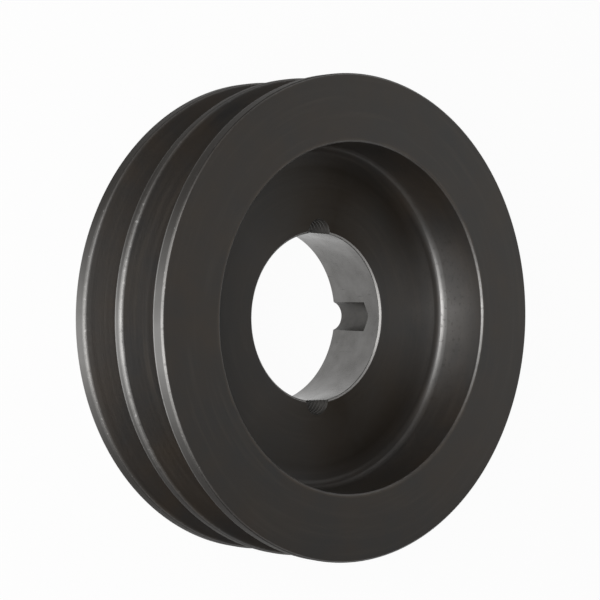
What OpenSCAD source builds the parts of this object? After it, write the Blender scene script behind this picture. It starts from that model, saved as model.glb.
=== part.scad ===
// Two-groove V-belt pulley with a plain taper bore for a clamping bush.
// The axis is +Z. The flat back face lies on z = 0, and the recessed front face looks up.
// Sizes are in millimetres and angles in degrees.

/* [Rim] */
// Outside diameter of the rim
outer_d = 152; // [140:0.5:200]
// Chamfer on the outer edge of each face
rim_chamfer = 0.5; // [0.2:0.1:1.5]

/* [Belt grooves] */
// Number of belt grooves
groove_count = 2; // [2:1:4]
// Distance between the centres of neighbouring grooves
groove_pitch = 19.05; // [18.8:0.05:24]
// Distance from a face to the centre of the nearest groove
groove_edge = 12.7; // [11.5:0.1:18]
// Width of a groove at the outside diameter, before its edges are rounded
groove_top_w = 15.9; // [13:0.1:16.4]
// Angle between the two flanks of a groove
groove_angle = 34; // [30:1:38]
// Depth of a groove below the outside diameter
groove_depth = 14.3; // [10:0.1:16]
// Radius on the edges where a groove meets the outside diameter
groove_edge_r = 1.1; // [0.2:0.1:1.2]
// Radius in the corners at the bottom of a groove
groove_root_r = 1; // [0.2:0.1:2.5]

/* [Front recess] */
// Diameter of the recess in the front face
recess_d = 109.5; // [90:0.5:116]
// Chamfer on the edge of the recess
recess_chamfer = 0.5; // [0.2:0.1:1.5]
// Fillet between the recess wall and the web
recess_fillet = 3; // [0.5:0.1:8]

/* [Taper bore] */
// Length of the hub, from the back face to the web
hub_len = 25; // [20:0.5:32]
// Diameter of the bore at its large end, on the back face
bore_d = 57.15; // [50:0.05:64]
// Angle between opposite sides of the taper
bore_taper = 8; // [6:0.5:10]
// Chamfer on the edge of the bore at the web
bore_front_chamfer = 0.6; // [0.2:0.1:1.5]
// Chamfer on the edge of the bore at the back face
bore_back_chamfer = 0.4; // [0.2:0.1:1.5]

/* [Half-holes for the bush screws] */
// How far inside the edge of the bore, at the back face, the half-holes are centred
screw_inset = 1.6; // [0:0.1:2.5]
// Core diameter of the two threaded half-holes, which run through the hub
thread_core_d = 8; // [6:0.1:10]
// Diameter of the plain half-hole, where a screw bears to free the bush
removal_d = 9.6; // [7:0.1:12]
// Depth of the plain half-hole from the back face, at its full diameter
removal_depth = 16.9; // [10:0.1:18]
// Angle of the drilled point that ends the plain half-hole
drill_angle = 135; // [90:1:140]
// Chamfer at each open end of a half-hole
hole_chamfer = 0.4; // [0.2:0.1:1.2]

/* [Hidden] */
$fn = 180;

// Overlap that carries a cut past the surface it opens
over = 1;
// Angles of the threaded half-holes and of the plain one, about the axis
thread_at = [90, 270];
removal_at = 0;

outer_r = outer_d / 2;
recess_r = recess_d / 2;
bore_r = bore_d / 2;
screw_circle_r = bore_r - screw_inset;
rim_w = 2 * groove_edge + (groove_count - 1) * groove_pitch;
flank = groove_angle / 2;
groove_floor_w = groove_top_w - 2 * groove_depth * tan(flank);
drill_point = removal_d / 2 / tan(drill_angle / 2);

// Radius of the taper bore at a height above the back face
function bore_r_at(z) = bore_r - z * tan(bore_taper / 2);

function unit(v) = v / norm(v);

// The sliver between a sharp corner and the arc that rounds it, carried past the corner.
// The corner's two sides run from it along the directions a and b.
module corner_sliver(corner, a, b, r) {
    side_a = unit(a);
    side_b = unit(b);
    half = acos(side_a * side_b) / 2;
    touch = r / tan(half);
    inward = unit(side_a + side_b);
    centre = corner + inward * r / sin(half);
    difference() {
        polygon([corner - inward * over, corner + side_a * touch, centre, corner + side_b * touch]);
        translate(centre) circle(r);
    }
}

// The section of one belt groove, open at the outside diameter.
// It is drawn about its centre line, with the radius along x.
module groove_section() {
    top = groove_top_w / 2;
    floor_half = groove_floor_w / 2;
    floor_r = outer_r - groove_depth;
    flare = over * tan(flank);
    down = [-cos(flank), -sin(flank)];
    difference() {
        polygon([
            [outer_r + over, top + flare],
            [floor_r, floor_half],
            [floor_r, -floor_half],
            [outer_r + over, -top - flare]
        ]);
        for (side = [0, 1]) mirror([0, side])
            corner_sliver([floor_r, floor_half], -down, [0, -1], groove_root_r);
    }
    for (side = [0, 1]) mirror([0, side])
        corner_sliver([outer_r, top], down, [0, 1], groove_edge_r);
}

// The section of the front recess, with its chamfered edge and the fillet at its foot.
module recess_section() {
    difference() {
        translate([0, hub_len]) square([recess_r, rim_w - hub_len + over]);
        corner_sliver([recess_r, hub_len], [-1, 0], [0, 1], recess_fillet);
    }
    edge = recess_chamfer + over;
    polygon([
        [recess_r - over, rim_w + over],
        [recess_r - over, rim_w - edge],
        [recess_r + edge, rim_w + over]
    ]);
}

// The section of the taper bore, with a chamfer at each end.
module bore_section() {
    front_r = bore_r_at(hub_len);
    polygon([
        [0, -over],
        [bore_r + bore_back_chamfer + over, -over],
        [bore_r_at(bore_back_chamfer), bore_back_chamfer],
        [bore_r_at(hub_len - bore_front_chamfer), hub_len - bore_front_chamfer],
        [front_r + bore_front_chamfer + over, hub_len + over],
        [0, hub_len + over]
    ]);
}

// Half of the turned body's section, from the axis outwards.
module body_section() {
    difference() {
        polygon([
            [0, 0],
            [outer_r - rim_chamfer, 0],
            [outer_r, rim_chamfer],
            [outer_r, rim_w - rim_chamfer],
            [outer_r - rim_chamfer, rim_w],
            [0, rim_w]
        ]);
        for (n = [0 : groove_count - 1])
            translate([0, groove_edge + n * groove_pitch]) groove_section();
        recess_section();
        bore_section();
    }
}

// A threaded half-hole, at its core diameter, through the whole hub, with a chamfer at each end.
module thread_hole() {
    core_r = thread_core_d / 2;
    mouth_r = core_r + hole_chamfer + over;
    translate([screw_circle_r, 0, 0])
        rotate_extrude() polygon([
            [0, -over],
            [mouth_r, -over],
            [core_r, hole_chamfer],
            [core_r, hub_len - hole_chamfer],
            [mouth_r, hub_len + over],
            [0, hub_len + over]
        ]);
}

// The plain half-hole, drilled from the back face, with a chamfered mouth and the drill's point at its end.
module removal_hole() {
    hole_r = removal_d / 2;
    translate([screw_circle_r, 0, 0])
        rotate_extrude() polygon([
            [0, -over],
            [hole_r + hole_chamfer + over, -over],
            [hole_r, hole_chamfer],
            [hole_r, removal_depth],
            [0, removal_depth + drill_point]
        ]);
}

module pulley() {
    color([0.17, 0.16, 0.15])
        difference() {
            rotate_extrude() body_section();
            for (angle = thread_at) rotate(angle) thread_hole();
            rotate(removal_at) removal_hole();
        }
}

pulley();
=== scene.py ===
"""Looks of a two-groove V-belt pulley with a taper bore, and the small studio that it is shown in.

The pulley's section is turned about +Z, and the half-holes for the bush screws are cut into its bore.
Lengths are in metres and angles in radians. The flat back face lies on z = 0, on the floor.
"""

import math
from collections import namedtuple

import bpy
from bpy.props import FloatProperty, FloatVectorProperty, IntProperty, PointerProperty
from bpy.types import NodeSocket, Operator, Panel, PropertyGroup
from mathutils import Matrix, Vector


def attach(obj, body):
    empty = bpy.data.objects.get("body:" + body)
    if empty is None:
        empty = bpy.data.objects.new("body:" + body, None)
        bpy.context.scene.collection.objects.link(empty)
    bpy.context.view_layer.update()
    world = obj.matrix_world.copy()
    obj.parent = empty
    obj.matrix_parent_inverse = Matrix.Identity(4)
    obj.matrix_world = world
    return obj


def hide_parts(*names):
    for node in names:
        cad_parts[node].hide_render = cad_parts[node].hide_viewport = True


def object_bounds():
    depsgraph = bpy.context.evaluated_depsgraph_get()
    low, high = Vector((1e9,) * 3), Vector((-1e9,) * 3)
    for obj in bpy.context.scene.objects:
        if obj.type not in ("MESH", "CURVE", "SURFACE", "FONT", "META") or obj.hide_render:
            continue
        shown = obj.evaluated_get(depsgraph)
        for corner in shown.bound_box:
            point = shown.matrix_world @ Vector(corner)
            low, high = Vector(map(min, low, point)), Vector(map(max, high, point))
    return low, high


bl_info = {
    "name": "Taper Bore V-Belt Pulley",
    "version": (1, 0, 0),
    "blender": (4, 5, 0),
    "location": "View3D > Sidebar > Pulley",
    "description": "Turns a V-belt pulley with a taper bore, and sets up the studio that it is shown in",
    "category": "Object",
}

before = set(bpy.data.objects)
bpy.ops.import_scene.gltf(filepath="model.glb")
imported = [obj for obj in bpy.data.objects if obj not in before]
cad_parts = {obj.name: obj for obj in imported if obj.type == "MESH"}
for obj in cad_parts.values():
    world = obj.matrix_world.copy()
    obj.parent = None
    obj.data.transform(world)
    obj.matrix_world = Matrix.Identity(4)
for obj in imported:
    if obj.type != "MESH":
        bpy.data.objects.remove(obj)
CAD_LOW, CAD_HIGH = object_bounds()

NODE = "pulley"
MM = 0.001

# Distance from a rounded corner to the loop that keeps the flat beside it flat
SUPPORT = 0.25 * MM
# Length of arc that adds one more step to a rounded corner, and the steps that each corner starts with
ARC_STEP = 0.45 * MM
FIRST_STEPS = 3.5
# Share of the fillet's radius that each of its two arcs has, so that a short flat stays between them
FOOT_ARC = 0.96
# Radius of the circle that carries the section while it is turned
PATH_RADIUS = 50 * MM
# A face is bare if the mean of its corners' bareness is above this
ALL_BARE = 0.99
# Sides of the thread's cutter and of the drill, and rows of points in one turn of the thread
TAP_SIDES = 40
DRILL_SIDES = 64
TURN_ROWS = 12
# Angle of a thread's flank, and half the width of the flat at its root as a share of the pitch
THREAD_FLANK = math.radians(30)
HALF_ROOT = 1 / 16
# Directions from the axis of the two threads, which face each other
THREAD_TURNS = (math.radians(90), math.radians(-90))
# A point of the drill that is closer to its axis than this is its tip
TIP_REACH = 0.01 * MM
# How far a cut runs past the surface that it opens
OVER = 1 * MM
# Points closer than this are one point after a cut
SLIVER = 0.001 * MM
# Edges that turn by more than this are shaded as sharp
SHARP_TURN = math.radians(32)

# Share of the coat that is rubbed off the edges of the rim and off the edge of the recess; the share of the
# worn colour that paints a highlight, with some wear, on the foot of the recess, and a painted glow on the
# wall and the web beside the foot; and the share that makes the flank of the rearmost groove paler
RIM_RUB = 0.6
LIP_RUB = 0.8
FOOT_WEAR_AND_HIGHLIGHT = 0.9
WALL_PAINTED_GLOW = FOOT_WEAR_AND_HIGHLIGHT * 0.55
WEB_PAINTED_GLOW = FOOT_WEAR_AND_HIGHLIGHT / 8
REAR_FLANK_PALER = 0.06
# The same for the grooves' edges on the rearmost rib: those further forward are rubbed more
REAR_RIB_RUB = 0.42
# Direction from the axis, and the angle to each side of it, of the side of the rim where a painted highlight
# lightens its lands and edges
RIM_HIGHLIGHT_TURN = math.radians(186)
RIM_HIGHLIGHT_REACH = math.radians(42)
# The same for the recess, where wear is lightened into a painted highlight on its edge and foot and a painted
# glow on its wall and web
RECESS_HIGHLIGHT_TURN = math.radians(3)
RECESS_HIGHLIGHT_REACH = math.radians(40)
# Directions from the axis in which painted shade darkens and browns the web, near +Y and -Y, and the angle to
# each side of them
WEB_SHADE_TURNS = (math.radians(78), math.radians(-68))
WEB_SHADE_REACH = math.radians(62)
# Angle to each side of a thread's direction in which the half-holes are darker
THREAD_DARK_REACH = math.radians(30)

# How strongly the coat and the drilled metal mirror
COAT_IOR = 1.95
DRILLED_IOR = 1.5
# How far the lathe's marks draw out the coat's sheen, and the turn of that, as a share of a full one
COAT_SHEEN = 0.3
COAT_SHEEN_TURN = 0.25
# What the coat's grain and the stains in the half-holes leave of a colour
GRAIN_SHADE = (0.62, 0.62, 0.62)
STAIN_SHADE = (0.55, 0.55, 0.55)
WHITE = (1, 1, 1, 1)

# Values between which a mark begins and is full, and the range of the lathe's marks
CHIP_LIMITS = (0.0, 0.3)
NICK_LIMITS = (0.92, 1.0)
EDGE_LIMITS = (0.0, 0.2)
STREAK_LIMITS = (0.52, 0.72)
SHADE_LIMITS = (0.4, 1.6)
BROWN_LIMITS = (0.2, 0.8)
FLECK_LIMITS = (0.0, 0.35)
SCRATCH_LIMITS = (0.67, 0.77)
THREAD_DARK_LIMITS = (0.0, 0.3)
BORE_LIMITS = (0.5, 1.5)
RING_LIMITS = (0.2, 0.8)
# Wear with its painted highlight, away from the highlighted side and on it, for the rim and for the recess
RIM_HIGHLIGHT_SIDES = (0.08, 1.0)
RECESS_HIGHLIGHT_SIDES = (0.1, 1.15)
# How the highlighted side, the worn edges and chips in them vary the wear and painted highlight
HIGHLIGHT_PATCHES = (1.1, 1.4)
EDGE_PATCHES = (0.6, 1.0)
CHIP_PATCHES = (0.45, 1.0)
# Smallest and largest share of a mark's colour, or its only share
NICK_SHARE = (0.0, 0.6)
STREAK_SHARE = (0.0, 0.6)
BROWN_SHARE = (0.15, 0.6)
WEB_SHADE_SHARE = (0.6, 0.8)
THREAD_DARK_SHARE = (0.0, 0.75)
FLECK_SHARE = (0.3, 0.0)
BARE_STAIN_SHARE = 0.75
SCRATCH_SHARE = 0.5
# Roughness of the coat, of the bore and of the half-holes, and what other marks add to it
COAT_ROUGHNESS = (0.36, 0.46)
BARE_ROUGHNESS = (0.20, 0.28)
DRILLED_ROUGHNESS = (0.5, 0.62)
GRAIN_ROUGHNESS = (-0.03, 0.03)
LAND_ROUGHNESS = 0.2
WORN_ROUGHNESS = -0.08
EDGE_ROUGHNESS = 0.2
SCRATCH_ROUGHNESS = 0.12
# How metallic the worn coat is, and the bore and its chamfer
WORN_METAL = 0.7
BARE_METAL = (1.0, 0.35)
# Height of the coat's grain and of a scratch, beside the lathe's marks
GRAIN_HEIGHT = 0.5
SCRATCH_HEIGHT = -0.6

# Gap that keeps the floor and the back face from lying in one plane
FLOOR_GAP = 0.1 * MM
# Radius of the flat floor and of the sweep at its edge, where its inner rings lie, and its steps and sides
FLOOR_RADIUS = 2.6
SWEEP_RADIUS = 0.9
FLOOR_RINGS = (0.1, 0.4, 0.7, 1.0)
SWEEP_STEPS = 8
FLOOR_SIDES = 96
FLOOR_ROUGHNESS = 0.9

# Width of the camera's sensor in millimetres, and the nearest that the camera sees
SENSOR_WIDTH = 36
NEAREST_SEEN = 0.01

# The two lamps, and the point that they face
Lamp = namedtuple("Lamp", "name place size tint")
KEY_LAMP = Lamp("key_light", place=(-0.855, 0, 0.455), size=(1.3, 1.1), tint=(1.0, 0.99, 0.98))
FILL_LAMP = Lamp("fill_light", place=(0.92, 0.20, 0.80), size=(0.9, 0.9), tint=(1.0, 0.985, 0.955))
LAMP_AIM = Vector((0, 0, 0.03))

# A corner of the turned section: where it is, how it is rounded, its wear and painted highlight, and whether
# it is bared, and how far the side that follows it carries wear and painted highlight where it leaves this
# corner and where it reaches the next one
Corner = namedtuple("Corner", "radius height rounding worn bare leave reach", defaults=(0, 0, 0, 0))

# The shader groups that the materials share
Effects = namedtuple("Effects", "marks mottle band side scratches")

# The sockets of a Mix node that mixes colours
MIX_FACTOR, MIX_FIRST, MIX_SECOND, MIX_RESULT = 0, 6, 7, 2


def length(label, description, default):
    """A length in metres, as a property."""
    return FloatProperty(
        name=label, description=description, default=default, min=0, unit="LENGTH", precision=5
    )


def angle(label, description, degrees):
    """An angle, given in degrees, as a property."""
    return FloatProperty(name=label, description=description, default=math.radians(degrees), subtype="ANGLE")


def colour(label, description, default):
    """A linear colour, as a property."""
    return FloatVectorProperty(
        name=label, description=description, default=default, size=3, min=0, max=1, subtype="COLOR"
    )


class PulleySizes(PropertyGroup):
    """Sizes of the turned pulley and of the half-holes in its bore"""

    segments: IntProperty(name="Segments", description="Steps round the axis", default=256, min=32)
    outer_diameter: length("Outside Diameter", "Diameter over the lands of the rim", 2 * CAD_HIGH.x)
    rim_width: length("Rim Width", "Distance between the back face and the front face", CAD_HIGH.z)
    rim_chamfer: length("Rim Chamfer", "Chamfer on the outer edge of each face", 0.5 * MM)
    edge_rounding: length("Edge Rounding", "Radius that breaks the edges of the chamfers", 0.12 * MM)
    groove_count: IntProperty(name="Grooves", description="Number of belt grooves", default=2, min=1)
    groove_pitch: length("Groove Pitch", "Distance between the centres of the grooves", 19.05 * MM)
    groove_top: length("Groove Top Width", "Width of a groove at the outside diameter", 15.9 * MM)
    groove_angle: angle("Groove Angle", "Angle between the flanks of a groove", 34)
    groove_depth: length("Groove Depth", "Depth of a groove below the outside diameter", 14.3 * MM)
    groove_edge_radius: length("Groove Edge Radius", "Radius where a groove meets a land", 1.1 * MM)
    groove_root_radius: length("Groove Root Radius", "Radius in the corners of the groove's floor", 1.0 * MM)
    recess_diameter: length("Recess Diameter", "Diameter of the recess in the front face", 109.5 * MM)
    recess_chamfer: length("Recess Chamfer", "Chamfer on the edge of the recess", 0.5 * MM)
    recess_fillet: length("Recess Fillet", "Radius at the foot of the recess wall", 3 * MM)
    hub_length: length("Hub Length", "Distance from the back face to the web", 25 * MM)
    bore_diameter: length("Bore Diameter", "Diameter of the bore at the back face", 57.15 * MM)
    bore_taper: angle("Bore Taper", "Angle between opposite sides of the bore", 8)
    bore_front_chamfer: length("Bore Front Chamfer", "Chamfer on the bore's edge at the web", 0.6 * MM)
    bore_back_chamfer: length("Bore Back Chamfer", "Chamfer on the bore's edge at the back face", 0.4 * MM)
    screw_circle: length("Screw Circle", "Diameter of the circle through the half-holes' centres", 53.95 * MM)
    thread_core: length("Thread Core", "Diameter over the crests of the internal thread", 8 * MM)
    thread_major: length("Thread Major", "Diameter at the roots of the internal thread", 9.525 * MM)
    thread_pitch: length("Thread Pitch", "Distance from one turn of the thread to the next", 1.5875 * MM)
    removal_diameter: length("Plain Half-hole", "Diameter of the half-hole without a thread", 9.6 * MM)
    removal_depth: length("Plain Half-hole Depth", "Depth at full diameter, from the back face", 16.9 * MM)
    drill_angle: angle("Drill Angle", "Angle of the point that ends the plain half-hole", 135)
    hole_chamfer: length("Half-hole Chamfer", "Chamfer at each open end of a half-hole", 0.4 * MM)


class PulleyFinish(PropertyGroup):
    """Colours of the black coating and of the bare metal"""

    coat_warm: colour("Coat, Warm", "Brownish patches of the black coating", (0.0300, 0.0200, 0.0115))
    coat_cool: colour("Coat, Cool", "Bluish patches of the black coating", (0.0165, 0.0152, 0.0142))
    coat_streak: colour("Coat, Streaked", "Rings where the tool left the coating thin", (0.046, 0.037, 0.028))
    coat_brown: colour("Coat, Browned", "Browned coating along the edge of the recess", (0.060, 0.045, 0.030))
    # Painted shade: darker, browner coat at the top and bottom of the web
    coat_web_shade: colour("Coat, Stained", "Brown, oily stains on the web", (0.036, 0.026, 0.016))
    land_dark: colour("Land", "Smooth lands of the rim", (0.031, 0.028, 0.025))
    # Painted highlight: lands that are lighter on one side of the rim
    land_highlight: colour("Land, Rubbed", "Lands that were rubbed in handling", (0.225, 0.222, 0.217))
    # Worn metal of rubbed edges, which also paints the highlights and the glow in the recess
    coat_wear_and_highlight: colour("Coat, Worn", "Metal that shows where an edge is rubbed", (0.40, 0.396, 0.389))
    bare_metal: colour("Bare Metal", "Turned metal of the bore", (0.165, 0.162, 0.158))
    bare_stain: colour("Bare Metal, Stained", "Darker patches of the bore", (0.115, 0.112, 0.108))
    bare_scratch: colour("Bare Metal, Scratched", "Dark scratches along the bore", (0.060, 0.057, 0.053))
    # Dull chamfer at the front of the bore, lightened so that it paints the glint on the bore's edge
    bare_edge_and_glint: colour("Bare Metal, Edge", "Dull chamfer at the front of the bore", (0.430, 0.424, 0.415))
    drilled: colour("Drilled Metal", "Dull metal of the half-holes", (0.095, 0.092, 0.087))
    # Darker metal in the threaded half-holes
    drilled_thread_dark: colour("Drilled Metal, Oily", "Dark oil in the threads", (0.028, 0.025, 0.021))


class StudioSettings(PropertyGroup):
    """The camera, the lights and the floor"""

    camera_place: FloatVectorProperty(
        name="Camera Place", description="Where the camera stands", subtype="TRANSLATION", unit="LENGTH",
        default=(-0.40023, 0.00698, 0.48568), precision=5,
    )
    camera_turn: FloatVectorProperty(
        name="Camera Turn", description="How the camera is turned", subtype="EULER",
        default=(math.radians(-0.8175), math.radians(-40.4246), math.radians(1.0222)),
    )
    camera_lens: FloatProperty(
        name="Lens", description="Focal length of the camera in millimetres", subtype="DISTANCE_CAMERA",
        default=114.84,
    )
    key_power: FloatProperty(
        name="Key Light", description="Power of the large soft light", default=14.5, unit="POWER"
    )
    fill_power: FloatProperty(
        name="Fill Light", description="Power of the weak light beyond", default=0.95, unit="POWER"
    )
    surround: FloatProperty(name="Surround", description="Brightness of the dim room", default=0.064)
    floor_white: FloatProperty(
        name="Floor White", description="Share of plain white in the floor as it is seen", subtype="FACTOR",
        default=0.96,
    )
    floor_colour: colour("Floor", "Colour of the floor where light falls on it", (0.9, 0.9, 0.9))


def floats(*labels):
    """Sockets for numbers, as the interface of a node tree lists them."""
    return [(label, "Float") for label in labels]


def new_tree(kind, name, inputs, outputs):
    """A node tree with a named interface, with the sockets of its two end nodes."""
    tree = bpy.data.node_groups.new(name, kind)
    for label, socket in inputs:
        tree.interface.new_socket(label, in_out="INPUT", socket_type="NodeSocket" + socket)
    for label, socket in outputs:
        tree.interface.new_socket(label, in_out="OUTPUT", socket_type="NodeSocket" + socket)
    return tree, tree.nodes.new("NodeGroupInput").outputs, tree.nodes.new("NodeGroupOutput").inputs


def feed(tree, node, inputs):
    """Links or sets the inputs of a node, which go by name or by number."""
    for name, value in inputs.items():
        if isinstance(value, NodeSocket):
            tree.links.new(value, node.inputs[name])
        else:
            node.inputs[name].default_value = value


def put(tree, kind, inputs=None, **settings):
    """Adds a node with its settings and its inputs."""
    node = tree.nodes.new(kind)
    for name, value in settings.items():
        setattr(node, name, value)
    feed(tree, node, inputs or {})
    return node


def calc(tree, operation, *values):
    """The result of a Math node."""
    return put(tree, "ShaderNodeMath", dict(enumerate(values)), operation=operation).outputs[0]


def product(tree, first, *others):
    """Several values multiplied."""
    for other in others:
        first = calc(tree, "MULTIPLY", first, other)
    return first


def largest(tree, first, *others):
    """The largest of several values."""
    for other in others:
        first = calc(tree, "MAXIMUM", first, other)
    return first


def remap(tree, value, from_min, from_max, to_min, to_max):
    """A value carried from one range to another, and kept inside it."""
    inputs = {"Value": value, "From Min": from_min, "From Max": from_max, "To Min": to_min, "To Max": to_max}
    return put(tree, "ShaderNodeMapRange", inputs).outputs["Result"]


def between(tree, mask, low, high):
    """A mask as a number between two others."""
    return remap(tree, mask, 0, 1, low, high)


def combine(tree, x, y, z):
    """A vector made of three numbers."""
    return put(tree, "ShaderNodeCombineXYZ", {0: x, 1: y, 2: z}).outputs[0]


def separate(tree, vector):
    """The three numbers that make a vector."""
    return put(tree, "ShaderNodeSeparateXYZ", {0: vector}).outputs


def named(tree, name, kind="FLOAT"):
    """What the points or the faces carry under a name."""
    return put(tree, "GeometryNodeInputNamedAttribute", {"Name": name}, data_type=kind).outputs["Attribute"]


def mark_faces(tree, geometry, name, value):
    """Notes under a name whether each face has a finish of its own."""
    inputs = {"Geometry": geometry, "Name": name, "Value": value}
    node = put(tree, "GeometryNodeStoreNamedAttribute", inputs, data_type="BOOLEAN", domain="FACE")
    return node.outputs[0]


def moved(tree, geometry, offset):
    """A geometry that is moved by an offset."""
    return put(tree, "GeometryNodeTransform", {"Geometry": geometry, "Translation": offset}).outputs[0]


def section_corners(sizes):
    """The corners of the turned section, from the back of the bore round the rim to the front of the bore."""
    outer = sizes.outer_diameter / 2
    recess = sizes.recess_diameter / 2
    width = sizes.rim_width
    hub = sizes.hub_length
    fine = sizes.edge_rounding
    chamfer = sizes.rim_chamfer
    front = sizes.bore_front_chamfer
    back = sizes.bore_back_chamfer

    # The fillet at the foot of the recess wall is made of two arcs, with a short flat between them
    foot = sizes.recess_fillet * (1 - math.tan(math.pi / 8))
    foot_arc = sizes.recess_fillet * FOOT_ARC

    def bore_at(height):
        """Radius of the bore at a height above the back face."""
        return sizes.bore_diameter / 2 - height * math.tan(sizes.bore_taper / 2)

    def rib_rub(rib):
        """How far the grooves' edges on a rib are rubbed, with the ribs counted from the back."""
        return REAR_RIB_RUB + (1 - REAR_RIB_RUB) * rib / sizes.groove_count

    corners = [
        Corner(bore_at(0) + back, 0, fine, bare=1),
        Corner(outer - chamfer, 0, fine, worn=RIM_RUB, leave=RIM_RUB, reach=RIM_RUB),
        Corner(outer, chamfer, fine, worn=RIM_RUB),
    ]
    first = (width - (sizes.groove_count - 1) * sizes.groove_pitch) / 2
    half_top = sizes.groove_top / 2
    half_floor = half_top - sizes.groove_depth * math.tan(sizes.groove_angle / 2)
    floor_radius = outer - sizes.groove_depth
    edge = sizes.groove_edge_radius
    root = sizes.groove_root_radius
    for number in range(sizes.groove_count):
        middle = first + number * sizes.groove_pitch
        # The flank of the rearmost groove is a little paler than the others
        belt = REAR_FLANK_PALER if number == 0 else 0
        corners += [
            Corner(outer, middle - half_top, edge, worn=rib_rub(number), leave=belt, reach=belt),
            Corner(floor_radius, middle - half_floor, root),
            Corner(floor_radius, middle + half_floor, root),
            Corner(outer, middle + half_top, edge, worn=rib_rub(number + 1)),
        ]
    corners += [
        Corner(outer, width - chamfer, fine, worn=RIM_RUB, leave=RIM_RUB, reach=RIM_RUB),
        Corner(outer - chamfer, width, fine, worn=RIM_RUB),
        Corner(recess + sizes.recess_chamfer, width, fine, worn=LIP_RUB, leave=LIP_RUB, reach=LIP_RUB),
        # The foot of the recess carries wear with a painted highlight, and the wall and the web beside it a
        # painted glow
        Corner(recess, width - sizes.recess_chamfer, fine, worn=LIP_RUB, reach=WALL_PAINTED_GLOW),
        Corner(recess, hub + foot, foot_arc, worn=FOOT_WEAR_AND_HIGHLIGHT),
        Corner(recess - foot, hub, foot_arc, leave=WEB_PAINTED_GLOW),
        Corner(bore_at(hub) + front, hub, fine, worn=1, bare=1, leave=1, reach=1),
        Corner(bore_at(hub - front), hub - front, fine, bare=1),
        Corner(bore_at(back), back, fine, bare=1),
    ]
    return corners


def supported(corners):
    """The corners, with two more points on each side that hold the flat between two roundings."""
    places = [Vector((c.radius, c.height)) for c in corners]
    count = len(corners)

    def touch(i):
        """Distance from a corner to where its rounding meets the sides."""
        to_last = places[i - 1] - places[i]
        to_next = places[(i + 1) % count] - places[i]
        return corners[i].rounding / math.tan(to_last.angle(to_next) / 2)

    points = []
    for i, corner in enumerate(corners):
        after = (i + 1) % count
        side = places[after] - places[i]
        start, end = touch(i), side.length - touch(after)
        margin = min(SUPPORT, (end - start) / 3)
        bare = corner.bare * corners[after].bare
        points.append(corner)
        for distance, worn in ((start + margin, corner.leave), (end - margin, corner.reach)):
            place = places[i] + side.normalized() * distance
            points.append(Corner(place.x, place.y, 0, worn=worn, bare=bare))
    return points


def section_mesh(sizes):
    """The section as a closed ring of edges, whose points carry how they are rounded and bared, and their
    wear and painted highlight.
    """
    points = supported(section_corners(sizes))
    edges = [(i, (i + 1) % len(points)) for i in range(len(points))]
    mesh = bpy.data.meshes.new("pulley_section")
    mesh.from_pydata([(p.radius, p.height, 0) for p in points], edges, [])
    for name in ("rounding", "worn", "bare"):
        layer = mesh.attributes.new(name, "FLOAT", "POINT")
        layer.data.foreach_set("value", [getattr(p, name) for p in points])
    return mesh


def turned_body_tree():
    """Rounds the corners of a section and turns it about the axis."""
    inputs = [("Section", "Geometry"), ("Segments", "Int")]
    tree, given, result = new_tree("GeometryNodeTree", "Turned Body", inputs, [("Body", "Geometry")])
    rounding = named(tree, "rounding")
    steps = calc(tree, "ADD", calc(tree, "DIVIDE", rounding, ARC_STEP), FIRST_STEPS)
    ring = put(tree, "GeometryNodeMeshToCurve", {"Mesh": given["Section"]})
    rounded = put(
        tree,
        "GeometryNodeFilletCurve",
        {"Curve": ring.outputs[0], "Count": steps, "Radius": rounding},
        mode="POLY",
    )
    profile = put(
        tree,
        "GeometryNodeTransform",
        {"Geometry": rounded.outputs[0], "Translation": (-PATH_RADIUS, 0, 0), "Rotation": (math.pi, 0, 0)},
    )
    path = put(
        tree,
        "GeometryNodeCurvePrimitiveCircle",
        {"Resolution": given["Segments"], "Radius": PATH_RADIUS},
        mode="RADIUS",
    )
    turned = put(
        tree, "GeometryNodeCurveToMesh", {"Curve": path.outputs[0], "Profile Curve": profile.outputs[0]}
    )
    outward = put(tree, "GeometryNodeFlipFaces", {"Mesh": turned.outputs[0]})
    bare = put(
        tree, "FunctionNodeCompare", {"A": named(tree, "bare"), "B": ALL_BARE}, operation="GREATER_THAN"
    )
    marked = mark_faces(tree, outward.outputs[0], "bare_face", bare.outputs[0])
    tree.links.new(marked, result["Body"])
    return tree


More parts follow.
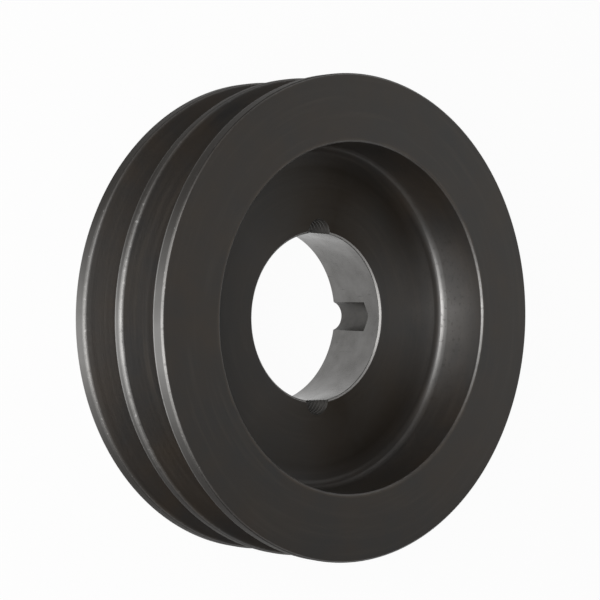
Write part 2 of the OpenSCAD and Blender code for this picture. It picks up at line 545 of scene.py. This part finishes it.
def thread_tap_tree():
    """A screw-shaped cutter that leaves an internal thread, standing on z = 0."""
    inputs = floats("Core Radius", "Major Radius", "Pitch", "Length", "Chamfer")
    tree, given, result = new_tree("GeometryNodeTree", "Thread Tap", inputs, [("Tap", "Geometry")])
    core, major, pitch, reach, chamfer = (given[label] for label, _ in inputs)
    rows = calc(tree, "MULTIPLY", calc(tree, "DIVIDE", reach, pitch), TURN_ROWS)
    rod = put(
        tree,
        "GeometryNodeMeshCylinder",
        {"Vertices": TAP_SIDES, "Side Segments": rows, "Radius": core, "Depth": reach},
    )
    x, y, z = separate(tree, put(tree, "GeometryNodeInputPosition").outputs[0])

    # How far a point is from the thread's root, along the axis, says how far from the axis it goes
    turn = calc(tree, "DIVIDE", calc(tree, "ARCTAN2", y, x), math.tau)
    phase = calc(tree, "FRACT", calc(tree, "SUBTRACT", calc(tree, "DIVIDE", z, pitch), turn))
    off_root = calc(tree, "MULTIPLY", calc(tree, "ABSOLUTE", calc(tree, "SUBTRACT", phase, 0.5)), pitch)
    half_root = calc(tree, "MULTIPLY", pitch, HALF_ROOT)
    flank = calc(tree, "MULTIPLY", calc(tree, "SUBTRACT", major, core), math.tan(THREAD_FLANK))
    radius = remap(tree, off_root, half_root, calc(tree, "ADD", half_root, flank), major, core)

    # Both ends open into a chamfer
    open_end = calc(tree, "MULTIPLY_ADD", reach, 0.5, -OVER)
    past_end = calc(tree, "SUBTRACT", calc(tree, "ABSOLUTE", z), open_end)
    mouth = calc(tree, "ADD", calc(tree, "ADD", core, chamfer), past_end)
    grow = calc(tree, "DIVIDE", largest(tree, radius, mouth), core)
    spread = combine(tree, calc(tree, "MULTIPLY", x, grow), calc(tree, "MULTIPLY", y, grow), z)
    cut = put(tree, "GeometryNodeSetPosition", {"Geometry": rod.outputs["Mesh"], "Position": spread})
    lift = combine(tree, 0, 0, calc(tree, "DIVIDE", reach, 2))
    tree.links.new(moved(tree, cut.outputs[0], lift), result["Tap"])
    return tree


def drill_tree():
    """A drill-shaped cutter with a countersink and a pointed end, standing on z = 0."""
    inputs = floats("Radius", "Depth", "Point", "Chamfer")
    tree, given, result = new_tree("GeometryNodeTree", "Drill", inputs, [("Drill", "Geometry")])
    radius, depth, point, chamfer = (given[label] for label, _ in inputs)
    rod = put(
        tree,
        "GeometryNodeMeshCylinder",
        {"Vertices": DRILL_SIDES, "Radius": radius, "Depth": depth},
        fill_type="TRIANGLE_FAN",
    )
    x, y, z = separate(tree, put(tree, "GeometryNodeInputPosition").outputs[0])
    off_axis = calc(tree, "ADD", calc(tree, "ABSOLUTE", x), calc(tree, "ABSOLUTE", y))
    on_axis = calc(tree, "LESS_THAN", off_axis, TIP_REACH)
    is_tip = calc(tree, "MULTIPLY", on_axis, calc(tree, "GREATER_THAN", z, 0))
    pointed = put(
        tree,
        "GeometryNodeSetPosition",
        {"Geometry": rod.outputs["Mesh"], "Selection": is_tip, "Offset": combine(tree, 0, 0, point)},
    )

    # The faces of the point are as bright as the bore
    half = calc(tree, "DIVIDE", depth, 2)
    bright = mark_faces(tree, pointed.outputs[0], "bare_face", calc(tree, "GREATER_THAN", z, half))
    raised = moved(tree, bright, combine(tree, 0, 0, half))
    spread = calc(tree, "ADD", chamfer, OVER)
    mouth = put(
        tree,
        "GeometryNodeMeshCone",
        {
            "Vertices": DRILL_SIDES,
            "Radius Top": calc(tree, "SUBTRACT", radius, OVER),
            "Radius Bottom": calc(tree, "ADD", radius, spread),
            "Depth": calc(tree, "ADD", spread, OVER),
        },
    )
    whole = put(tree, "GeometryNodeMeshBoolean", operation="UNION", solver="MANIFOLD")
    tree.links.new(raised, whole.inputs["Mesh 2"])
    tree.links.new(mouth.outputs["Mesh"], whole.inputs["Mesh 2"])
    tree.links.new(whole.outputs[0], result["Drill"])
    return tree


def placed_taps(tree, given):
    """The cutters of the two threads, where they cut into the bore."""
    tap = put(
        tree,
        "GeometryNodeGroup",
        node_tree=thread_tap_tree(),
        inputs={
            "Core Radius": given["Thread Core Radius"],
            "Major Radius": given["Thread Major Radius"],
            "Pitch": given["Thread Pitch"],
            "Length": calc(tree, "ADD", given["Hub Length"], 2 * OVER),
            "Chamfer": given["Hole Chamfer"],
        },
    )
    index = put(tree, "GeometryNodeInputIndex").outputs[0]
    turn = calc(tree, "MULTIPLY_ADD", index, math.pi, THREAD_TURNS[0])
    circle = given["Screw Circle Radius"]
    x = calc(tree, "MULTIPLY", calc(tree, "COSINE", turn), circle)
    y = calc(tree, "MULTIPLY", calc(tree, "SINE", turn), circle)
    points = put(
        tree, "GeometryNodePoints", {"Count": len(THREAD_TURNS), "Position": combine(tree, x, y, -OVER)}
    )
    taps = put(
        tree,
        "GeometryNodeInstanceOnPoints",
        {"Points": points.outputs[0], "Instance": tap.outputs[0], "Rotation": combine(tree, 0, 0, turn)},
    )
    return put(tree, "GeometryNodeRealizeInstances", {"Geometry": taps.outputs[0]}).outputs[0]


def placed_drill(tree, given):
    """The cutter of the plain half-hole, where it cuts into the bore."""
    drill = put(
        tree,
        "GeometryNodeGroup",
        node_tree=drill_tree(),
        inputs={
            "Radius": given["Plain Hole Radius"],
            "Depth": calc(tree, "ADD", given["Plain Hole Depth"], OVER),
            "Point": given["Drill Point"],
            "Chamfer": given["Hole Chamfer"],
        },
    )
    return moved(tree, drill.outputs[0], combine(tree, given["Screw Circle Radius"], 0, -OVER))


def pulley_tree():
    """Turns the section, cuts the half-holes into its bore, and gives each face its finish."""
    inputs = [("Section", "Geometry"), ("Segments", "Int")]
    inputs += floats("Hub Length", "Screw Circle Radius", "Thread Core Radius", "Thread Major Radius")
    inputs += floats("Thread Pitch", "Plain Hole Radius", "Plain Hole Depth", "Drill Point", "Hole Chamfer")
    inputs += [(label, "Material") for label in ("Coat", "Bare Metal", "Drilled Metal")]
    tree, given, result = new_tree(
        "GeometryNodeTree", "Taper Bore Pulley", inputs, [("Pulley", "Geometry")]
    )
    body = put(
        tree,
        "GeometryNodeGroup",
        node_tree=turned_body_tree(),
        inputs={"Section": given["Section"], "Segments": given["Segments"]},
    )
    cutters = put(tree, "GeometryNodeJoinGeometry")
    tree.links.new(placed_taps(tree, given), cutters.inputs[0])
    tree.links.new(placed_drill(tree, given), cutters.inputs[0])
    cut = put(
        tree,
        "GeometryNodeMeshBoolean",
        {"Mesh 1": body.outputs[0], "Mesh 2": mark_faces(tree, cutters.outputs[0], "drilled_face", True)},
        operation="DIFFERENCE",
        solver="MANIFOLD",
    )
    clean = put(tree, "GeometryNodeMergeByDistance", {"Geometry": cut.outputs[0], "Distance": SLIVER})
    smooth = put(tree, "GeometryNodeSetShadeSmooth", {"Geometry": clean.outputs[0], "Shade Smooth": True})
    turn = put(tree, "GeometryNodeInputMeshEdgeAngle").outputs["Unsigned Angle"]
    creased = put(
        tree,
        "GeometryNodeSetShadeSmooth",
        {
            "Geometry": smooth.outputs[0],
            "Selection": calc(tree, "GREATER_THAN", turn, SHARP_TURN),
            "Shade Smooth": False,
        },
        domain="EDGE",
    )
    real = put(tree, "GeometryNodeRealizeInstances", {"Geometry": creased.outputs[0]})
    coated = put(tree, "GeometryNodeSetMaterial", {"Geometry": real.outputs[0], "Material": given["Coat"]})
    finished = coated.outputs[0]
    for mark, finish in (("drilled_face", "Drilled Metal"), ("bare_face", "Bare Metal")):
        finished = put(
            tree,
            "GeometryNodeSetMaterial",
            {"Geometry": finished, "Selection": named(tree, mark, "BOOLEAN"), "Material": given[finish]},
        ).outputs[0]
    tree.links.new(finished, result["Pulley"])
    return tree


def new_effect(name, inputs, output):
    """A shader group that makes one number out of a place and some other numbers."""
    sockets = [("Vector", "Vector"), *floats(*inputs)]
    tree, given, result = new_tree("ShaderNodeTree", name, sockets, floats(output))
    return tree, given, result[output]


def from_axis(tree, x, y):
    """Distance from the axis."""
    return calc(tree, "SQRT", calc(tree, "ADD", calc(tree, "MULTIPLY", x, x), calc(tree, "MULTIPLY", y, y)))


def turning_marks_group():
    """Fine rings left by the lathe tool, as a height that follows radius and height above the back face."""
    tree, given, result = new_effect("Turning Marks", ("Feed", "Drift"), "Height")
    x, y, z = separate(tree, given["Vector"])
    radius = from_axis(tree, x, y)
    across = calc(tree, "DIVIDE", radius, given["Feed"])
    along = calc(tree, "DIVIDE", z, given["Feed"])
    round_x = calc(tree, "MULTIPLY", calc(tree, "DIVIDE", x, radius), given["Drift"])
    round_y = calc(tree, "MULTIPLY", calc(tree, "DIVIDE", y, radius), given["Drift"])
    lathe = combine(tree, across, along, round_x)
    rings = put(
        tree,
        "ShaderNodeTexNoise",
        {"Vector": lathe, "W": round_y, "Scale": 1.0, "Detail": 3.0, "Roughness": 0.6},
        noise_dimensions="4D",
    )
    tree.links.new(rings.outputs[0], result)
    return tree


def ring_band_group():
    """A soft-edged ring between two radii, as a mask."""
    tree, given, result = new_effect("Ring Band", ("Inner", "Outer", "Soft"), "Mask")
    x, y, _ = separate(tree, given["Vector"])
    radius = from_axis(tree, x, y)
    inside = remap(tree, radius, calc(tree, "SUBTRACT", given["Inner"], given["Soft"]), given["Inner"], 0, 1)
    outside = remap(tree, radius, given["Outer"], calc(tree, "ADD", given["Outer"], given["Soft"]), 1, 0)
    tree.links.new(calc(tree, "MULTIPLY", inside, outside), result)
    return tree


def one_side_group():
    """One side of the part, as a soft mask about a direction from the axis."""
    tree, given, result = new_effect("One Side", ("Turn", "Reach"), "Mask")
    x, y, _ = separate(tree, given["Vector"])
    turn = calc(tree, "SUBTRACT", calc(tree, "ARCTAN2", y, x), given["Turn"])
    away = calc(tree, "ABSOLUTE", calc(tree, "WRAP", turn, math.pi, -math.pi))
    tree.links.new(remap(tree, away, 0, given["Reach"], 1, 0), result)
    return tree


def scratches_group():
    """Scratches that run along the axis, as a mask."""
    tree, given, result = new_effect("Axial Scratches", ("Spacing", "Length"), "Mask")
    x, y, z = separate(tree, given["Vector"])
    drawn = combine(
        tree,
        calc(tree, "DIVIDE", x, given["Spacing"]),
        calc(tree, "DIVIDE", y, given["Spacing"]),
        calc(tree, "DIVIDE", z, given["Length"]),
    )
    noise = put(
        tree, "ShaderNodeTexNoise", {"Vector": drawn, "Scale": 1.0, "Detail": 2.0, "Roughness": 0.5}
    )
    tree.links.new(remap(tree, noise.outputs[0], *SCRATCH_LIMITS, 0, 1), result)
    return tree


def mottle_group():
    """Soft patches of a given size, as a mask."""
    tree, given, result = new_effect("Mottle", ("Patch", "Contrast"), "Mask")
    scale = calc(tree, "DIVIDE", 1.0, given["Patch"])
    noise = put(
        tree,
        "ShaderNodeTexNoise",
        {"Vector": given["Vector"], "Scale": scale, "Detail": 4.0, "Roughness": 0.55},
    )
    centred = calc(tree, "SUBTRACT", noise.outputs[0], 0.5)
    inputs = {0: centred, 1: given["Contrast"], 2: 0.5}
    mask = put(tree, "ShaderNodeMath", inputs, operation="MULTIPLY_ADD", use_clamp=True)
    tree.links.new(mask.outputs[0], result)
    return tree


def new_material(name):
    """A material, its node tree and its Principled shader."""
    material = bpy.data.materials.new(name)
    material.use_nodes = True
    return material, material.node_tree, material.node_tree.nodes["Principled BSDF"]


def blend(tree, factor, first, second, mode="MIX"):
    """Two colours mixed by a factor."""
    first, second = (c if isinstance(c, NodeSocket) else (*c, 1) for c in (first, second))
    inputs = {MIX_FACTOR: factor, MIX_FIRST: first, MIX_SECOND: second}
    return put(tree, "ShaderNodeMix", inputs, data_type="RGBA", blend_type=mode).outputs[MIX_RESULT]


def effect(tree, group, output, **inputs):
    """What a shared shader group puts out for this material's values."""
    place = put(tree, "ShaderNodeTexCoord").outputs["Object"]
    return put(tree, "ShaderNodeGroup", {"Vector": place, **inputs}, node_tree=group).outputs[output]


def sides(tree, effects, turns, reach):
    """The sides of the part that lie in some directions from the axis, as one soft mask."""
    return largest(tree, *(effect(tree, effects.side, "Mask", Turn=turn, Reach=reach) for turn in turns))


def edge_wear_and_highlight(tree):
    """The wear and painted highlight that the part's points carry."""
    return put(tree, "ShaderNodeAttribute", attribute_name="worn").outputs["Fac"]


def relief(tree, height, strength, depth):
    """A surface direction that shows a height as fine relief."""
    inputs = {"Strength": strength, "Distance": depth, "Height": height}
    return put(tree, "ShaderNodeBump", inputs).outputs[0]


def coat_material(finish, sizes, effects):
    """A thin black phosphate coating on turned iron, rubbed bright on its edges, with painted highlights on
    one side of the rim and in the recess and painted shade on the web.
    """
    material, tree, shader = new_material("black_phosphate")
    outer = sizes.outer_diameter / 2
    recess = sizes.recess_diameter / 2
    web_edge = recess - sizes.recess_fillet - 4 * MM

    # Patches, grain and lathe marks over the whole part
    patches = effect(tree, effects.mottle, "Mask", Patch=18 * MM, Contrast=2.6)
    grain = effect(tree, effects.mottle, "Mask", Patch=0.5 * MM, Contrast=1.6)
    rubbed = effect(tree, effects.mottle, "Mask", Patch=9 * MM, Contrast=2.0)
    chips = effect(tree, effects.mottle, "Mask", Patch=1.3 * MM, Contrast=3.0)
    rings = effect(tree, effects.marks, "Height", Feed=0.55 * MM, Drift=0.8)
    streaks = effect(tree, effects.marks, "Height", Feed=1.6 * MM, Drift=2.2)

    # The rim, its lands, the edge of the recess and the web
    rim = effect(tree, effects.band, "Mask", Inner=outer - 1.5 * MM, Outer=2 * outer, Soft=1 * MM)
    land = effect(tree, effects.band, "Mask", Inner=outer - 0.1 * MM, Outer=2 * outer, Soft=0.3 * MM)
    lip = effect(tree, effects.band, "Mask", Inner=recess + 0.4 * MM, Outer=recess + 1 * MM, Soft=0.3 * MM)
    web = effect(tree, effects.band, "Mask", Inner=0, Outer=web_edge, Soft=4 * MM)

    # Painted shade on the web, and wear on the edges with a painted highlight that is strongest on one side
    # of the rim and of the recess
    web_shade = sides(tree, effects, WEB_SHADE_TURNS, WEB_SHADE_REACH)
    web_shade = product(tree, web, web_shade, between(tree, patches, *WEB_SHADE_SHARE))
    # side: one side of the rim, where a painted highlight lightens the lands and the worn edges
    side = sides(tree, effects, (RIM_HIGHLIGHT_TURN,), RIM_HIGHLIGHT_REACH)
    side = product(tree, side, side, between(tree, rubbed, *HIGHLIGHT_PATCHES))
    # inside: the side of the recess where its wear is lightened into a painted highlight and glow
    inside = sides(tree, effects, (RECESS_HIGHLIGHT_TURN,), RECESS_HIGHLIGHT_REACH)
    inside = between(tree, product(tree, inside, inside), *RECESS_HIGHLIGHT_SIDES)
    rim_wear_and_highlight = product(tree, rim, between(tree, side, *RIM_HIGHLIGHT_SIDES))
    recess_wear_and_highlight = product(tree, calc(tree, "SUBTRACT", 1.0, rim), inside)
    edges = product(tree, edge_wear_and_highlight(tree), calc(tree, "ADD", rim_wear_and_highlight, recess_wear_and_highlight))
    chipped = remap(tree, chips, *CHIP_LIMITS, *CHIP_PATCHES)
    nicks = remap(tree, chips, *NICK_LIMITS, *NICK_SHARE)
    nicks = product(tree, rim, remap(tree, edges, *EDGE_LIMITS, 0, 1), nicks)
    worn = largest(tree, product(tree, edges, between(tree, rubbed, *EDGE_PATCHES), chipped), nicks)

    tone = blend(tree, patches, finish.coat_cool, finish.coat_warm)
    tone = blend(tree, remap(tree, streaks, *STREAK_LIMITS, *STREAK_SHARE), tone, finish.coat_streak)
    shade = remap(tree, calc(tree, "ADD", grain, rings), *SHADE_LIMITS, 0, 1)
    tone = blend(tree, shade, blend(tree, 1.0, tone, GRAIN_SHADE, "MULTIPLY"), tone)
    brown = product(tree, lip, remap(tree, rubbed, *BROWN_LIMITS, *BROWN_SHARE))
    tone = blend(tree, brown, tone, finish.coat_brown)
    # Painted shade at the top and bottom of the web
    tone = blend(tree, web_shade, tone, finish.coat_web_shade)
    # Lands painted lighter on one side of the rim, as a painted highlight
    tone = blend(tree, land, tone, blend(tree, side, finish.land_dark, finish.land_highlight))
    # Worn edges, and the painted highlight and glow, in the worn metal's colour
    tone = blend(tree, worn, tone, finish.coat_wear_and_highlight)

    dull = remap(tree, rings, *RING_LIMITS, *COAT_ROUGHNESS)
    dull = calc(tree, "ADD", dull, between(tree, grain, *GRAIN_ROUGHNESS))
    dull = calc(tree, "MULTIPLY_ADD", worn, WORN_ROUGHNESS, dull)
    dull = calc(tree, "MULTIPLY_ADD", land, LAND_ROUGHNESS, dull)
    height = calc(tree, "MULTIPLY_ADD", grain, GRAIN_HEIGHT, rings)
    feed(
        tree,
        shader,
        {
            "Base Color": tone,
            "Roughness": dull,
            "Metallic": largest(tree, land, web_shade, calc(tree, "MULTIPLY", worn, WORN_METAL)),
            "IOR": COAT_IOR,
            "Anisotropic": COAT_SHEEN,
            "Anisotropic Rotation": COAT_SHEEN_TURN,
            "Normal": relief(tree, height, strength=0.35, depth=0.03 * MM),
        },
    )
    return material


def bare_material(finish, effects):
    """Bare turned iron with fine rings, stains and a few scratches along the bore, dull and light on its
    chamfer, which paints the chamfer's glint.
    """
    material, tree, shader = new_material("bare_bore")
    stains = effect(tree, effects.mottle, "Mask", Patch=6 * MM, Contrast=3.0)
    flecks = effect(tree, effects.mottle, "Mask", Patch=0.7 * MM, Contrast=2.4)
    scratches = effect(tree, effects.scratches, "Mask", Spacing=0.5 * MM, Length=14 * MM)
    rings = effect(tree, effects.marks, "Height", Feed=0.25 * MM, Drift=1.5)
    edges = edge_wear_and_highlight(tree)

    stained = calc(tree, "MULTIPLY", stains, BARE_STAIN_SHARE)
    tone = blend(tree, stained, finish.bare_metal, finish.bare_stain)
    tone = blend(tree, remap(tree, flecks, *FLECK_LIMITS, *FLECK_SHARE), tone, finish.bare_stain)
    tone = blend(tree, calc(tree, "MULTIPLY", scratches, SCRATCH_SHARE), tone, finish.bare_scratch)

    dull = remap(tree, calc(tree, "ADD", rings, stains), *BORE_LIMITS, *BARE_ROUGHNESS)
    dull = calc(tree, "MULTIPLY_ADD", scratches, SCRATCH_ROUGHNESS, dull)
    dull = calc(tree, "MULTIPLY_ADD", edges, EDGE_ROUGHNESS, dull)
    height = calc(tree, "MULTIPLY_ADD", scratches, SCRATCH_HEIGHT, rings)
    feed(
        tree,
        shader,
        {
            # The chamfer's light, dull colour paints its glint
            "Base Color": blend(tree, edges, tone, finish.bare_edge_and_glint),
            "Roughness": dull,
            "Metallic": between(tree, edges, *BARE_METAL),
            "Normal": relief(tree, height, strength=0.3, depth=0.02 * MM),
        },
    )
    return material


def drilled_material(finish, effects):
    """Dull metal of the drilled and tapped half-holes, darker in the threads."""
    material, tree, shader = new_material("drilled_metal")
    stains = effect(tree, effects.mottle, "Mask", Patch=3 * MM, Contrast=2.0)
    rings = effect(tree, effects.marks, "Height", Feed=0.3 * MM, Drift=1.5)
    thread_dark = remap(tree, sides(tree, effects, THREAD_TURNS, THREAD_DARK_REACH), *THREAD_DARK_LIMITS, *THREAD_DARK_SHARE)
    stained = blend(tree, 1.0, finish.drilled, STAIN_SHADE, "MULTIPLY")
    tone = blend(tree, stains, finish.drilled, stained)
    feed(
        tree,
        shader,
        {
            "Base Color": blend(tree, thread_dark, tone, finish.drilled_thread_dark),
            "Roughness": remap(tree, rings, *RING_LIMITS, *DRILLED_ROUGHNESS),
            "IOR": DRILLED_IOR,
            "Normal": relief(tree, rings, strength=0.25, depth=0.02 * MM),
        },
    )
    return material


def floor_material(studio):
    """A pale floor that is seen, and mirrored, as white, and still takes a soft shadow."""
    material, tree, shader = new_material("pale_floor")
    shader.inputs["Base Color"].default_value = (*studio.floor_colour, 1)
    shader.inputs["Roughness"].default_value = FLOOR_ROUGHNESS
    shader.inputs["Specular IOR Level"].default_value = 0.0
    path = put(tree, "ShaderNodeLightPath").outputs
    seen = largest(tree, path["Is Camera Ray"], path["Is Glossy Ray"], path["Is Transmission Ray"])
    white = put(tree, "ShaderNodeEmission", {"Color": WHITE, "Strength": 1.0})
    share = calc(tree, "MULTIPLY", seen, studio.floor_white)
    lit = put(tree, "ShaderNodeMixShader", {0: share, 1: shader.outputs[0], 2: white.outputs[0]})
    tree.links.new(lit.outputs[0], tree.nodes["Material Output"].inputs["Surface"])
    return material


def floor_mesh():
    """A round floor whose far edge sweeps up, so that it is also the backdrop from every side."""
    rings = [(FLOOR_RADIUS * share, -FLOOR_GAP) for share in FLOOR_RINGS]
    for step in range(1, SWEEP_STEPS + 1):
        rise = math.pi / 2 * step / SWEEP_STEPS
        radius = FLOOR_RADIUS + SWEEP_RADIUS * math.sin(rise)
        rings.append((radius, SWEEP_RADIUS * (1 - math.cos(rise)) - FLOOR_GAP))
    points = [(0.0, 0.0, -FLOOR_GAP)]
    for radius, height in rings:
        for side in range(FLOOR_SIDES):
            turn = math.tau * side / FLOOR_SIDES
            points.append((radius * math.cos(turn), radius * math.sin(turn), height))
    faces = [(0, 1 + side, 1 + (side + 1) % FLOOR_SIDES) for side in range(FLOOR_SIDES)]
    for ring in range(len(rings) - 1):
        inner, outer = 1 + ring * FLOOR_SIDES, 1 + (ring + 1) * FLOOR_SIDES
        for side in range(FLOOR_SIDES):
            after = (side + 1) % FLOOR_SIDES
            faces.append((inner + side, outer + side, outer + after, inner + after))
    mesh = bpy.data.meshes.new("floor")
    mesh.from_pydata(points, [], faces)
    mesh.shade_smooth()
    return mesh


def add_object(context, name, data):
    """A new object in the scene."""
    made = bpy.data.objects.new(name, data)
    context.scene.collection.objects.link(made)
    return made


def add_lamp(context, lamp, power):
    """A rectangular lamp that faces the part, and that the camera doesn't see."""
    light = bpy.data.lights.new(lamp.name, "AREA")
    light.shape = "RECTANGLE"
    light.size, light.size_y = lamp.size
    light.energy = power
    light.color = lamp.tint
    made = add_object(context, lamp.name, light)
    made.location = lamp.place
    made.rotation_euler = (LAMP_AIM - Vector(lamp.place)).to_track_quat("-Z", "Y").to_euler()
    made.visible_camera = False


class PULLEY_OT_turn_body(Operator):
    """Turn the pulley, cut its half-holes and give it its finish"""

    bl_idname = "pulley.turn_body"
    bl_label = "Turn Pulley"

    def execute(self, context):
        sizes = context.scene.pulley_sizes
        finish = context.scene.pulley_finish
        effects = Effects(
            marks=turning_marks_group(),
            mottle=mottle_group(),
            band=ring_band_group(),
            side=one_side_group(),
            scratches=scratches_group(),
        )
        tree = pulley_tree()
        piece = add_object(context, "turned_pulley", section_mesh(sizes))
        modifier = piece.modifiers.new("Pulley", "NODES")
        modifier.node_group = tree
        values = {
            "Segments": sizes.segments,
            "Hub Length": sizes.hub_length,
            "Screw Circle Radius": sizes.screw_circle / 2,
            "Thread Core Radius": sizes.thread_core / 2,
            "Thread Major Radius": sizes.thread_major / 2,
            "Thread Pitch": sizes.thread_pitch,
            "Plain Hole Radius": sizes.removal_diameter / 2,
            "Plain Hole Depth": sizes.removal_depth,
            "Drill Point": sizes.removal_diameter / 2 / math.tan(sizes.drill_angle / 2),
            "Hole Chamfer": sizes.hole_chamfer,
            "Coat": coat_material(finish, sizes, effects),
            "Bare Metal": bare_material(finish, effects),
            "Drilled Metal": drilled_material(finish, effects),
        }
        for item in tree.interface.items_tree:
            if item.name in values:
                modifier[item.identifier] = values[item.name]
        depsgraph = context.evaluated_depsgraph_get()
        mesh = bpy.data.meshes.new_from_object(
            piece.evaluated_get(depsgraph), preserve_all_data_layers=True, depsgraph=depsgraph
        )
        piece.modifiers.remove(modifier)
        piece.data = mesh
        if len(mesh.polygons) == 0:
            raise RuntimeError("the node tree made no faces")
        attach(piece, "root")
        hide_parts(NODE)
        return {"FINISHED"}


class PULLEY_OT_set_studio(Operator):
    """Lay the floor, hang the lights and set the camera"""

    bl_idname = "pulley.set_studio"
    bl_label = "Set Studio"

    def execute(self, context):
        studio = context.scene.pulley_studio
        floor = add_object(context, "floor", floor_mesh())
        floor.data.materials.append(floor_material(studio))

        add_lamp(context, KEY_LAMP, studio.key_power)
        add_lamp(context, FILL_LAMP, studio.fill_power)

        world = bpy.data.worlds.new("dim_room")
        world.use_nodes = True
        room = world.node_tree.nodes["Background"]
        room.inputs["Color"].default_value = WHITE
        room.inputs["Strength"].default_value = studio.surround
        context.scene.world = world

        lens = bpy.data.cameras.new("camera")
        lens.lens = studio.camera_lens
        lens.sensor_width = SENSOR_WIDTH
        lens.clip_start = NEAREST_SEEN
        camera = add_object(context, "camera", lens)
        camera.location = studio.camera_place
        camera.rotation_euler = studio.camera_turn
        context.scene.camera = camera
        context.scene.view_settings.view_transform = "Standard"
        return {"FINISHED"}


class PULLEY_PT_sidebar(Panel):
    """The pulley's sizes and colours, the studio, and the two buttons that build them"""

    bl_idname = "PULLEY_PT_sidebar"
    bl_label = "V-Belt Pulley"
    bl_space_type = "VIEW_3D"
    bl_region_type = "UI"
    bl_category = "Pulley"

    def draw(self, context):
        scene = context.scene
        for operator, settings in (
            (PULLEY_OT_turn_body, (scene.pulley_sizes, scene.pulley_finish)),
            (PULLEY_OT_set_studio, (scene.pulley_studio,)),
        ):
            box = self.layout.box()
            box.operator(operator.bl_idname)
            for group in settings:
                for name in group.__annotations__:
                    box.prop(group, name)


CLASSES = (
    PulleySizes,
    PulleyFinish,
    StudioSettings,
    PULLEY_OT_turn_body,
    PULLEY_OT_set_studio,
    PULLEY_PT_sidebar,
)


def register():
    """Registers the classes, and hangs the settings on the scene."""
    for cls in CLASSES:
        bpy.utils.register_class(cls)
    bpy.types.Scene.pulley_sizes = PointerProperty(type=PulleySizes)
    bpy.types.Scene.pulley_finish = PointerProperty(type=PulleyFinish)
    bpy.types.Scene.pulley_studio = PointerProperty(type=StudioSettings)


def unregister():
    """Takes the settings off the scene, and the classes out again."""
    del bpy.types.Scene.pulley_studio
    del bpy.types.Scene.pulley_finish
    del bpy.types.Scene.pulley_sizes
    for cls in reversed(CLASSES):
        bpy.utils.unregister_class(cls)


def main():
    """Builds the pulley and its studio."""
    register()
    bpy.ops.pulley.turn_body()
    bpy.ops.pulley.set_studio()


if __name__ == "__main__":
    main()
